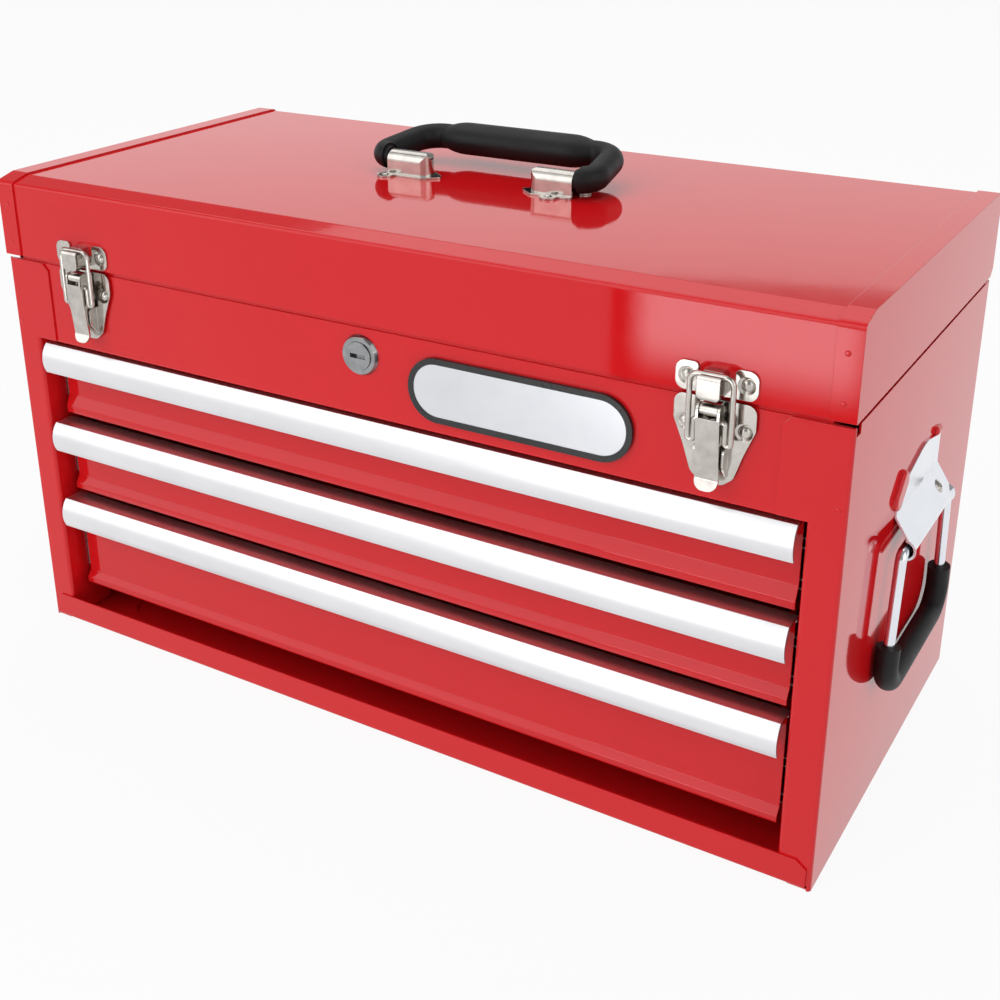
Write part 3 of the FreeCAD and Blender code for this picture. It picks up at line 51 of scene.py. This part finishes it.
# Edges and noise that all finishes share
EDGE_ROUND = 0.35 * MM
EDGE_SAMPLES = 4
NOISE_LOW = 0.3
NOISE_HIGH = 0.7
CLOUD_DETAIL = 4.0
WAVE_DETAIL = 1.0

# Paint
RED = (0.73, 0.008, 0.011, 1.0)
RED_LIGHT = (0.78, 0.011, 0.015, 1.0)
PAINT_ROUGHNESS = (0.035, 0.065)
PAINT_ROUGHNESS_SCALE = 60.0
PAINT_SPECULAR = 0.38
PAINT_GLOSS_TINT = (0.96, 0.94, 1.0, 1.0)
PAINT_CLOUD = 14.0
PAINT_CLOUD_DETAIL = 3.0
PEEL_SCALE = 420.0
PEEL_DEPTH = 0.004 * MM

# Metals: two tones, a range of roughness, the scale of patches, the depth of waves, and for
# drawn or brushed metals a grain given as scale, stretch and depth
METAL_WAVE_SCALE = 90.0
GRAIN_DETAIL = 3.0
NICKEL = (0.60, 0.57, 0.53, 1.0)
NICKEL_DULL = (0.47, 0.44, 0.41, 1.0)
NICKEL_ROUGHNESS = (0.10, 0.19)
NICKEL_CLOUD = 160.0
NICKEL_WAVE = 0.10 * MM
ZINC = (0.80, 0.82, 0.87, 1.0)
ZINC_DULL = (0.76, 0.78, 0.83, 1.0)
ZINC_ROUGHNESS = (0.14, 0.20)
ZINC_CLOUD = 60.0
ZINC_WAVE = 0.015 * MM
STEEL = (0.40, 0.405, 0.41, 1.0)
STEEL_DULL = (0.30, 0.305, 0.31, 1.0)
STEEL_ROUGHNESS = (0.24, 0.36)
STEEL_CLOUD = 120.0
STEEL_WAVE = 0.02 * MM
STEEL_GRAIN = (900.0, (1.0, 0.04, 1.0), 0.01 * MM)
ALUMINIUM = (0.80, 0.80, 0.82, 1.0)
ALUMINIUM_DULL = (0.75, 0.75, 0.77, 1.0)
ALUMINIUM_ROUGHNESS = (0.33, 0.39)
ALUMINIUM_CLOUD = 30.0
ALUMINIUM_WAVE = 0.01 * MM
ALUMINIUM_GRAIN = (1400.0, (0.02, 1.0, 1.0), 0.004 * MM)
SILVER = (0.72, 0.73, 0.76, 1.0)
SILVER_DULL = (0.64, 0.65, 0.68, 1.0)
SILVER_ROUGHNESS = (0.26, 0.34)
SILVER_CLOUD = 40.0
SILVER_WAVE = 0.01 * MM
SILVER_GRAIN = (1800.0, (0.015, 1.0, 1.0), 0.006 * MM)
CHROME = (0.36, 0.365, 0.37, 1.0)
CHROME_DULL = (0.28, 0.285, 0.29, 1.0)
CHROME_ROUGHNESS = (0.12, 0.22)
CHROME_CLOUD = 260.0
CHROME_WAVE = 0.02 * MM
CHROME_GRAIN = (1600.0, (1.0, 1.0, 1.0), 0.004 * MM)

# Rubber and plastic
MOULDED_CLOUD = 70.0
MOULDED_WAVE_SCALE = 110.0
MOULDED_WAVE = 0.08 * MM
MOULDED_GRAIN_DETAIL = 2.0
RUBBER = (0.008, 0.008, 0.009, 1.0)
RUBBER_WORN = (0.014, 0.014, 0.0155, 1.0)
RUBBER_ROUGHNESS = (0.46, 0.58)
RUBBER_GRAIN_SCALE = 1500.0
RUBBER_GRAIN_DEPTH = 0.05 * MM
RUBBER_SPECULAR = 0.26
BADGE_BLACK = (0.012, 0.012, 0.013, 1.0)
BADGE_BLACK_WORN = (0.022, 0.022, 0.024, 1.0)
BADGE_BLACK_ROUGHNESS = (0.22, 0.32)
BADGE_BLACK_GRAIN_SCALE = 900.0
BADGE_BLACK_GRAIN_DEPTH = 0.01 * MM
BADGE_BLACK_SPECULAR = 0.5

# Slide balls
BALL_RADIUS = 1.55 * MM
BALL_ROUNDNESS = 3
BALL_SHARES = (0.1, 0.3, 0.5, 0.7, 0.9)
BALL_FROM_EDGE = 0.5 * MM
CAGE_EDGE_X = 229.8 * MM
LEVEL_NAMES = ("top", "middle", "bottom")

# Spot welds of the flanges, as heights on the lid's caps and on the side panels
WELD_RADIUS = 1.4 * MM
WELD_RISE = 0.12 * MM
WELD_FROM_EDGE = 6.5 * MM
CAP_WELD_SHARES = (0.17, 0.65)
SIDE_WELD_SHARES = (0.84,)
WELD_SEGMENTS = 24

# Camera at the photograph's place and angle
CAMERA_AT = (0.4004, -0.6599, 0.4762)
CAMERA_YAW = 31.66
CAMERA_PITCH = 21.721
CAMERA_ROLL = -0.532
CAMERA_LENS = 50.733
CAMERA_SENSOR = 36.0
CAMERA_SHIFT = (0.0267, -0.1135)
CAMERA_CLIP = 0.01

# Studio
WHITE = (1.0, 1.0, 1.0, 1.0)
AMBIENT = 0.55
FLOOR_RADIUS = 9.0
DISC_SIDES = 96
FLOOR_ALBEDO = (0.86, 0.86, 0.86, 1.0)
FLOOR_GLOW_SHARE = 0.93
CEILING_HEIGHT = 3.1
CEILING_RADIUS = 8.9
CEILING_LEVEL = 0.32

# Softboxes: place, size and power
AIM_AT = (0.0, 0.0, 0.14)
SOFTBOXES = {
    "key": ((-1.3, -1.9, 2.3), 2.6, 17.0),
    "window": ((-1.5, -2.4, 1.5), 2.4, 17.0),
    "fill": ((2.4, -0.6, 1.6), 2.2, 16.0),
    "overhead": ((-0.6, 0.75, 2.3), 2.2, 19.0),
}

# Lit card: place, half width and height, where it fades at its ends and at its foot
GLOW_AT = (0.0, -0.68, 0.075)
GLOW_HALF = (0.13, 0.075)
GLOW_EDGE = (0.085, 0.12)
GLOW_FOOT = (-0.075, -0.02)
GLOW_STRENGTH = 5.5
GLOW_CORNERS = ((-1, -1), (1, -1), (1, 1), (-1, 1))


class Nodes:
    """A node tree with short ways to add nodes and feed their sockets."""

    def __init__(self, tree):
        self.tree = tree

    def add(self, kind, settings=None, inputs=None):
        node = self.tree.nodes.new("ShaderNode" + kind)
        for name, value in (settings or {}).items():
            setattr(node, name, value)
        for name, value in (inputs or {}).items():
            self.feed(node.inputs[name], value)
        return node

    def feed(self, socket, value):
        if isinstance(value, bpy.types.NodeSocket):
            self.tree.links.new(value, socket)
        else:
            socket.default_value = value

    def combine(self, operation, *values, clamp=False):
        """A Math node's result for the given values."""
        settings = {"operation": operation, "use_clamp": clamp}
        return self.add("Math", settings, dict(enumerate(values))).outputs[0]

    def smooth_step(self, value, start, end, low, high):
        """A value that eases from low to high as the given one goes from start to end."""
        node = self.add("MapRange", {"interpolation_type": "SMOOTHSTEP"}, {
            "Value": value, "From Min": start, "From Max": end, "To Min": low, "To Max": high})
        return node.outputs["Result"]

    def seen_share(self):
        """1 for rays that show the white background: seen straight, in gloss or through glass."""
        rays = self.add("LightPath").outputs
        total = rays["Is Camera Ray"]
        for name in ("Is Glossy Ray", "Is Transmission Ray"):
            total = self.combine("ADD", total, rays[name], clamp=True)
        return total

    def surface(self, shader):
        self.feed(self.tree.nodes["Material Output"].inputs["Surface"], shader)


class Finish(Nodes):
    """A material of the object, built on the Principled shader in the object's own space."""

    def __init__(self, name, values):
        self.material = bpy.data.materials.new(name)
        self.material.use_nodes = True
        super().__init__(self.material.node_tree)
        self.shader = self.tree.nodes["Principled BSDF"]
        for socket, value in values.items():
            self.shader.inputs[socket].default_value = value
        self.place = self.add("TexCoord").outputs["Object"]

    def noise(self, scale, detail, stretch=(1.0, 1.0, 1.0)):
        """Noise in the object's own space, drawn out along the axes with a small stretch."""
        scaled = self.add("Mapping", inputs={"Vector": self.place, "Scale": stretch})
        texture = self.add("TexNoise", inputs={
            "Vector": scaled.outputs["Vector"], "Scale": scale, "Detail": detail})
        return texture.outputs["Fac"]

    def spread(self, value, low, high):
        """A value between low and high, over the middle of the noise's range."""
        node = self.add("MapRange", inputs={
            "Value": value, "From Min": NOISE_LOW, "From Max": NOISE_HIGH,
            "To Min": low, "To Max": high})
        return node.outputs["Result"]

    def blend(self, share, first, second):
        """A colour between two others."""
        node = self.add("Mix", {"data_type": "RGBA"}, {0: share, 6: first, 7: second})
        return node.outputs[2]

    def rounded(self):
        """Normals turned round at sharp edges, as a real sheet's edge catches the light."""
        node = self.add("Bevel", {"samples": EDGE_SAMPLES}, {"Radius": EDGE_ROUND})
        return node.outputs["Normal"]

    def bump(self, height, depth, normal):
        node = self.add("Bump", inputs={
            "Strength": 1.0, "Distance": depth, "Height": height, "Normal": normal})
        return node.outputs["Normal"]

    def colour(self, value):
        self.feed(self.shader.inputs["Base Color"], value)

    def roughness(self, value):
        self.feed(self.shader.inputs["Roughness"], value)

    def normal(self, value):
        self.feed(self.shader.inputs["Normal"], value)


# Glossy red enamel with a faint orange peel
def red_paint():
    finish = Finish("enamel_red", {
        "Specular IOR Level": PAINT_SPECULAR, "Specular Tint": PAINT_GLOSS_TINT})
    cloud = finish.noise(PAINT_CLOUD, PAINT_CLOUD_DETAIL)
    finish.colour(finish.blend(cloud, RED, RED_LIGHT))
    gloss = finish.noise(PAINT_ROUGHNESS_SCALE, CLOUD_DETAIL)
    finish.roughness(finish.spread(gloss, *PAINT_ROUGHNESS))
    peel = finish.noise(PEEL_SCALE, WAVE_DETAIL)
    finish.normal(finish.bump(peel, PEEL_DEPTH, finish.rounded()))
    return finish.material


def metal(name, clean, dull, roughness, cloud_scale, wave_depth, grain=None):
    """A metal with patches that differ a little in tone and gloss, and a faintly uneven face."""
    finish = Finish(name, {"Metallic": 1.0})
    cloud = finish.noise(cloud_scale, CLOUD_DETAIL)
    finish.colour(finish.blend(finish.spread(cloud, 0.0, 1.0), clean, dull))
    finish.roughness(finish.spread(cloud, *roughness))
    waves = finish.noise(METAL_WAVE_SCALE, WAVE_DETAIL)
    shape = finish.bump(waves, wave_depth, finish.rounded())
    if grain:
        scale, stretch, depth = grain
        shape = finish.bump(finish.noise(scale, GRAIN_DETAIL, stretch), depth, shape)
    finish.normal(shape)
    return finish.material


# Bright nickel plate of latches and saddles
def bright_nickel():
    return metal("nickel_bright", NICKEL, NICKEL_DULL, NICKEL_ROUGHNESS, NICKEL_CLOUD, NICKEL_WAVE)


# Zinc plate of hinge, stays, side brackets and small steel parts
def zinc_plate():
    return metal("zinc_plate", ZINC, ZINC_DULL, ZINC_ROUGHNESS, ZINC_CLOUD, ZINC_WAVE)


# Rolled steel of the slides, drawn along its length
def slide_steel():
    return metal("steel_slide", STEEL, STEEL_DULL, STEEL_ROUGHNESS, STEEL_CLOUD, STEEL_WAVE,
                 STEEL_GRAIN)


# Satin anodised aluminium, brushed along the pull
def pull_aluminium():
    return metal("aluminium_satin", ALUMINIUM, ALUMINIUM_DULL, ALUMINIUM_ROUGHNESS,
                 ALUMINIUM_CLOUD, ALUMINIUM_WAVE, ALUMINIUM_GRAIN)


# Brushed face of the badge
def badge_silver():
    return metal("silver_brushed", SILVER, SILVER_DULL, SILVER_ROUGHNESS, SILVER_CLOUD,
                 SILVER_WAVE, SILVER_GRAIN)


# Darker satin metal of the lock with a fine grain
def lock_chrome():
    return metal("chrome_lock", CHROME, CHROME_DULL, CHROME_ROUGHNESS, CHROME_CLOUD, CHROME_WAVE,
                 CHROME_GRAIN)


def moulded(name, clean, worn, roughness, grain_scale, grain_depth, specular):
    """A black moulding with a fine grain and slightly worn patches."""
    finish = Finish(name, {"Specular IOR Level": specular})
    cloud = finish.noise(MOULDED_CLOUD, CLOUD_DETAIL)
    finish.colour(finish.blend(finish.spread(cloud, 0.0, 1.0), clean, worn))
    finish.roughness(finish.spread(cloud, *roughness))
    waves = finish.noise(MOULDED_WAVE_SCALE, WAVE_DETAIL)
    soft = finish.bump(waves, MOULDED_WAVE, finish.rounded())
    grain = finish.noise(grain_scale, MOULDED_GRAIN_DETAIL)
    finish.normal(finish.bump(grain, grain_depth, soft))
    return finish.material


# Matt rubber of the grips
def black_rubber():
    return moulded("rubber_black", RUBBER, RUBBER_WORN, RUBBER_ROUGHNESS, RUBBER_GRAIN_SCALE,
                   RUBBER_GRAIN_DEPTH, RUBBER_SPECULAR)


# Black rim of the badge
def badge_black():
    return moulded("badge_rim_black", BADGE_BLACK, BADGE_BLACK_WORN, BADGE_BLACK_ROUGHNESS,
                   BADGE_BLACK_GRAIN_SCALE, BADGE_BLACK_GRAIN_DEPTH, BADGE_BLACK_SPECULAR)


FINISHES = {
    "red_paint": red_paint,
    "bright_nickel": bright_nickel,
    "zinc_plate": zinc_plate,
    "slide_steel": slide_steel,
    "pull_aluminium": pull_aluminium,
    "badge_silver": badge_silver,
    "badge_black": badge_black,
    "black_rubber": black_rubber,
    "lock_chrome": lock_chrome,
}


def finish_nodes(nodes, materials):
    """Each CAD node gets the finish of its material slot."""
    for node in nodes.values():
        for slot in node.material_slots:
            slot.material = materials[slot.material.name.split(".")[0]]


def placed(name, shape, material, smooth=False):
    """A new object in the scene, from a bmesh that is used up, with one material."""
    mesh = bpy.data.meshes.new(name)
    shape.to_mesh(mesh)
    shape.free()
    if smooth:
        mesh.shade_smooth()
    mesh.materials.append(material)
    item = bpy.data.objects.new(name, mesh)
    bpy.context.scene.collection.objects.link(item)
    return item


# Steel balls in the pockets of the cages, above and below on each side
def slide_balls(level, material):
    low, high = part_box("slide_cage_" + level)
    x = high.x - (high.x - CAGE_EDGE_X) / 2
    shape = bmesh.new()
    for side in (-1, 1):
        for z in (low.z + BALL_FROM_EDGE, high.z - BALL_FROM_EDGE):
            for share in BALL_SHARES:
                y = low.y + (high.y - low.y) * share
                bmesh.ops.create_icosphere(shape, subdivisions=BALL_ROUNDNESS, radius=BALL_RADIUS,
                                           matrix=Matrix.Translation((side * x, y, z)))
    balls = placed("slide_balls_" + level, shape, material, smooth=True)
    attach(balls, "cage_" + level)


# Shallow round marks that spot welding leaves on the front of a flange
def weld_marks(node, body, shares, material):
    low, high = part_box(node)
    edge = high.x if high.x > 0 else low.x
    x = edge - math.copysign(WELD_FROM_EDGE, edge)
    flat = Matrix.Diagonal((WELD_RADIUS, WELD_RISE, WELD_RADIUS, 1.0))
    shape = bmesh.new()
    for share in shares:
        place = Matrix.Translation((x, low.y, low.z + (high.z - low.z) * share))
        bmesh.ops.create_uvsphere(shape, u_segments=WELD_SEGMENTS, v_segments=WELD_SEGMENTS // 2,
                                  radius=1.0, matrix=place @ flat)
    marks = placed("weld_marks_" + node, shape, material, smooth=True)
    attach(marks, body)


def world():
    surroundings = bpy.data.worlds.new("studio")
    bpy.context.scene.world = surroundings
    surroundings.use_nodes = True
    nodes = Nodes(surroundings.node_tree)
    strength = nodes.add("MapRange", inputs={
        "Value": nodes.seen_share(), "To Min": AMBIENT, "To Max": 1.0})
    background = nodes.tree.nodes["Background"]
    nodes.feed(background.inputs["Color"], WHITE)
    nodes.feed(background.inputs["Strength"], strength.outputs["Result"])


def studio_material(name):
    """A bare material of the studio, and its nodes."""
    material = bpy.data.materials.new(name)
    material.use_nodes = True
    nodes = Nodes(material.node_tree)
    nodes.tree.nodes.remove(nodes.tree.nodes["Principled BSDF"])
    return material, nodes


def disc(name, radius, material):
    shape = bmesh.new()
    bmesh.ops.create_circle(shape, cap_ends=True, segments=DISC_SIDES, radius=radius)
    return placed(name, shape, material)


# White floor that shows as background and keeps the object's shadow
def floor():
    material, nodes = studio_material("studio_floor")
    diffuse = nodes.add("BsdfDiffuse", inputs={"Color": FLOOR_ALBEDO})
    glow = nodes.add("Emission", inputs={"Color": WHITE})
    share = nodes.combine("MULTIPLY", nodes.seen_share(), FLOOR_GLOW_SHARE)
    mix = nodes.add("MixShader", inputs={0: share, 1: diffuse.outputs[0], 2: glow.outputs[0]})
    nodes.surface(mix.outputs[0])
    disc("floor", FLOOR_RADIUS, material)


# Grey ceiling card over the whole set, above the lamps
def ceiling():
    material, nodes = studio_material("studio_ceiling")
    nodes.surface(nodes.add("Emission", inputs={"Strength": CEILING_LEVEL}).outputs[0])
    card = disc("ceiling", CEILING_RADIUS, material)
    card.location = (0.0, 0.0, CEILING_HEIGHT)
    card.visible_camera = False


# Low lit card on the floor, fading out at both ends and at its foot
def glow_card():
    material, nodes = studio_material("studio_glow")
    place = nodes.add("TexCoord").outputs["Object"]
    axes = nodes.add("SeparateXYZ", inputs={0: place}).outputs
    distance = nodes.combine("ABSOLUTE", axes["X"])
    fade = nodes.smooth_step(distance, *GLOW_EDGE, GLOW_STRENGTH, 0.0)
    rise = nodes.smooth_step(axes["Z"], *GLOW_FOOT, 0.0, 1.0)
    level = nodes.combine("MULTIPLY", fade, rise)
    nodes.surface(nodes.add("Emission", inputs={"Strength": level}).outputs[0])
    shape = bmesh.new()
    corners = [(x * GLOW_HALF[0], 0.0, z * GLOW_HALF[1]) for x, z in GLOW_CORNERS]
    shape.faces.new([shape.verts.new(corner) for corner in corners])
    card = placed("glow", shape, material)
    card.location = GLOW_AT
    card.visible_camera = False
    card.visible_shadow = False


def softbox(name, place, size, power):
    lamp = bpy.data.lights.new(name, "AREA")
    lamp.shape = "SQUARE"
    lamp.size = size
    lamp.energy = power
    box = bpy.data.objects.new(name, lamp)
    box.location = place
    box.visible_camera = False
    box.rotation_euler = (Vector(AIM_AT) - Vector(place)).to_track_quat("-Z", "Y").to_euler()
    bpy.context.scene.collection.objects.link(box)


def camera():
    lens = bpy.data.cameras.new("camera")
    lens.sensor_width = CAMERA_SENSOR
    lens.lens = CAMERA_LENS
    lens.shift_x, lens.shift_y = CAMERA_SHIFT
    lens.clip_start = CAMERA_CLIP
    view = bpy.data.objects.new("camera", lens)
    turn = Matrix.Rotation(math.radians(CAMERA_YAW), 4, "Z")
    tilt = Matrix.Rotation(math.radians(90.0 - CAMERA_PITCH), 4, "X")
    roll = Matrix.Rotation(math.radians(CAMERA_ROLL), 4, "Z")
    view.matrix_world = Matrix.Translation(CAMERA_AT) @ turn @ tilt @ roll
    bpy.context.scene.collection.objects.link(view)
    bpy.context.scene.camera = view


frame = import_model()
materials = {name: make() for name, make in FINISHES.items()}
finish_nodes(frame["nodes"], materials)
for level_name in LEVEL_NAMES:
    slide_balls(level_name, materials["slide_steel"])
for side in ("left", "right"):
    weld_marks("lid_cap_" + side, "lid", CAP_WELD_SHARES, materials["red_paint"])
    weld_marks("side_panel_" + side, "case", SIDE_WELD_SHARES, materials["red_paint"])
world()
floor()
for lamp_name, (place, size, power) in SOFTBOXES.items():
    softbox(lamp_name, place, size, power)
ceiling()
glow_card()
camera()
bpy.context.scene.view_settings.view_transform = "Standard"
